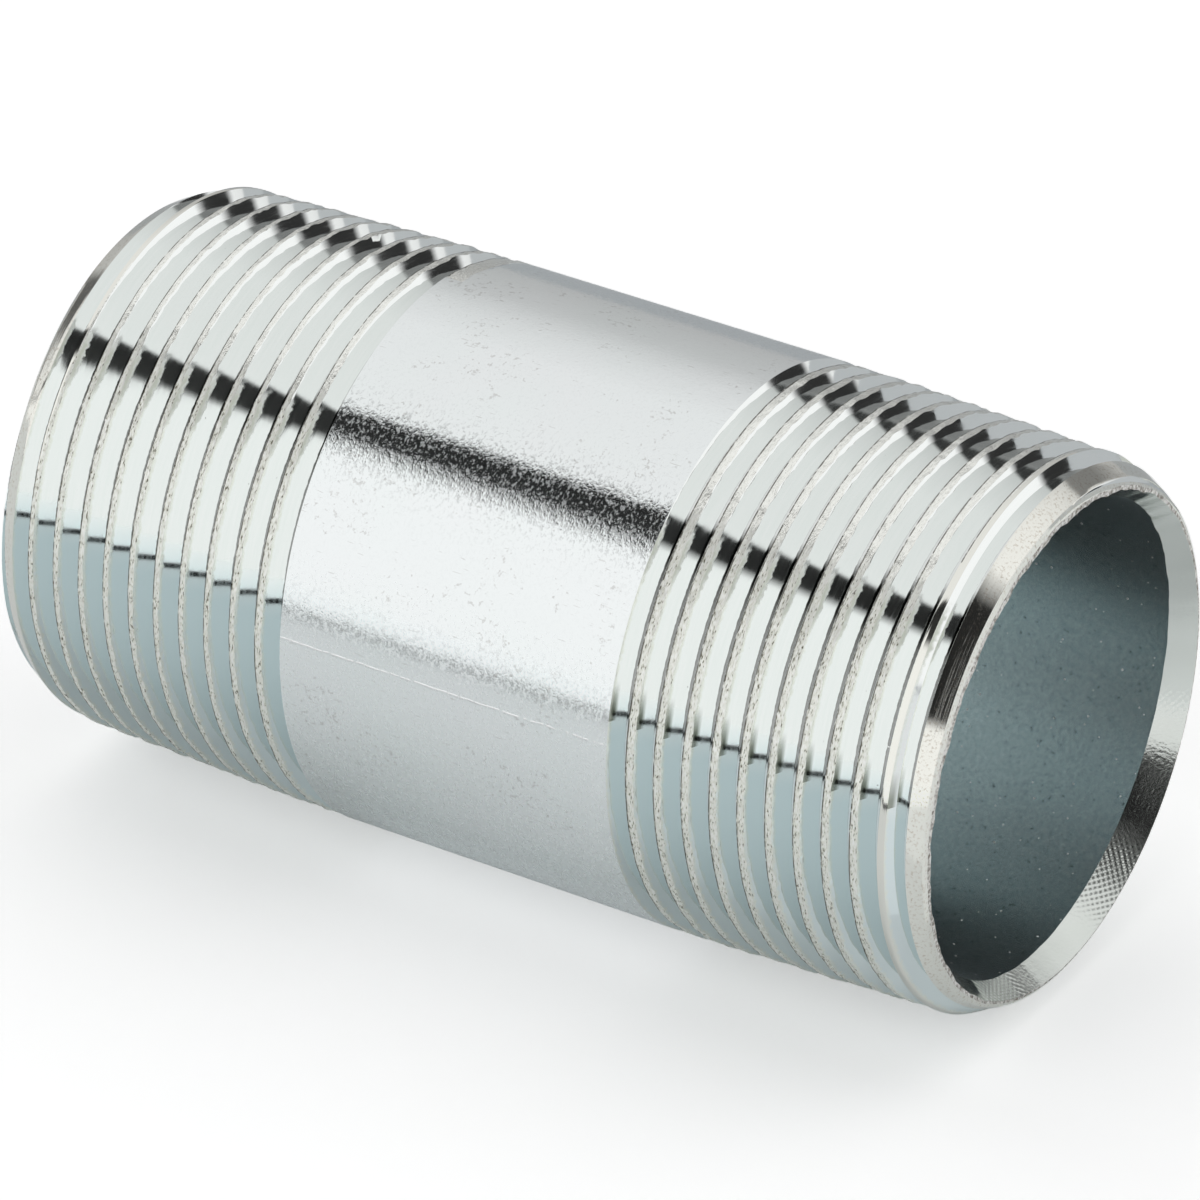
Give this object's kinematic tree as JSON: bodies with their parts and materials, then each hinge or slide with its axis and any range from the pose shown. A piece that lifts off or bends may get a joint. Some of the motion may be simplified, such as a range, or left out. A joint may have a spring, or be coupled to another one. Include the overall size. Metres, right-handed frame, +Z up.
{
  "type": "threaded pipe nipple",
  "caption": "Zinc-plated steel pipe nipple: a short pipe with a right-hand taper pipe thread on each end and a plain barrel between them.",
  "frame": {"origin": "on the surface that the nipple lies on, under the middle of the barrel", "axes": "+X along the pipe towards the end that the picture shows, +Z up"},
  "size_m": [0.077, 0.0418, 0.0418],
  "materials": {
    "bright_zinc_plate": "bright electroplated zinc over cut and rolled steel"
  },
  "bodies": {
    "root": {"pipe_nipple": "bright_zinc_plate"}
  },
  "joints": []
}
